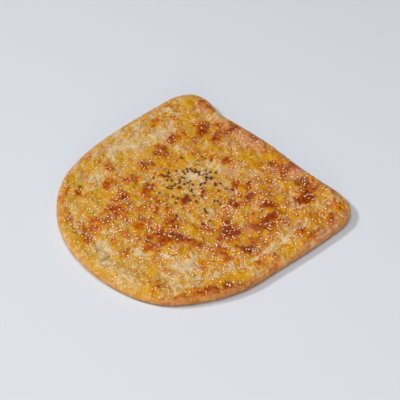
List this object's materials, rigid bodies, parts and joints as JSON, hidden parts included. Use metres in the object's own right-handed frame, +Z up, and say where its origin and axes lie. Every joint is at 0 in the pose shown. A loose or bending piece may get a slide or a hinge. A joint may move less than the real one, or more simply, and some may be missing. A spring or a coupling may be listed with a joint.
{
  "type": "stuffed flatbread",
  "caption": "U-shaped stuffed flatbread with a rolled rim, browned blisters, folds, a vent mark and baked-on sesame and nigella seeds.",
  "frame": {"origin": "middle of the flat base, under the centre of the plan's box", "axes": "+Z up; the straight side faces +Y and the round end -Y, so the plan is nearly mirror-symmetric about the YZ plane"},
  "size_m": [0.2762, 0.266, 0.0159],
  "materials": {
    "crust": "egg-washed golden crust with red-brown blisters and pale folds, satin gloss",
    "sesame": "cream toasted sesame seed, slightly oily satin",
    "nigella": "dull black nigella seed"
  },
  "bodies": {
    "root": {"flatbread": "crust"}
  },
  "joints": []
}
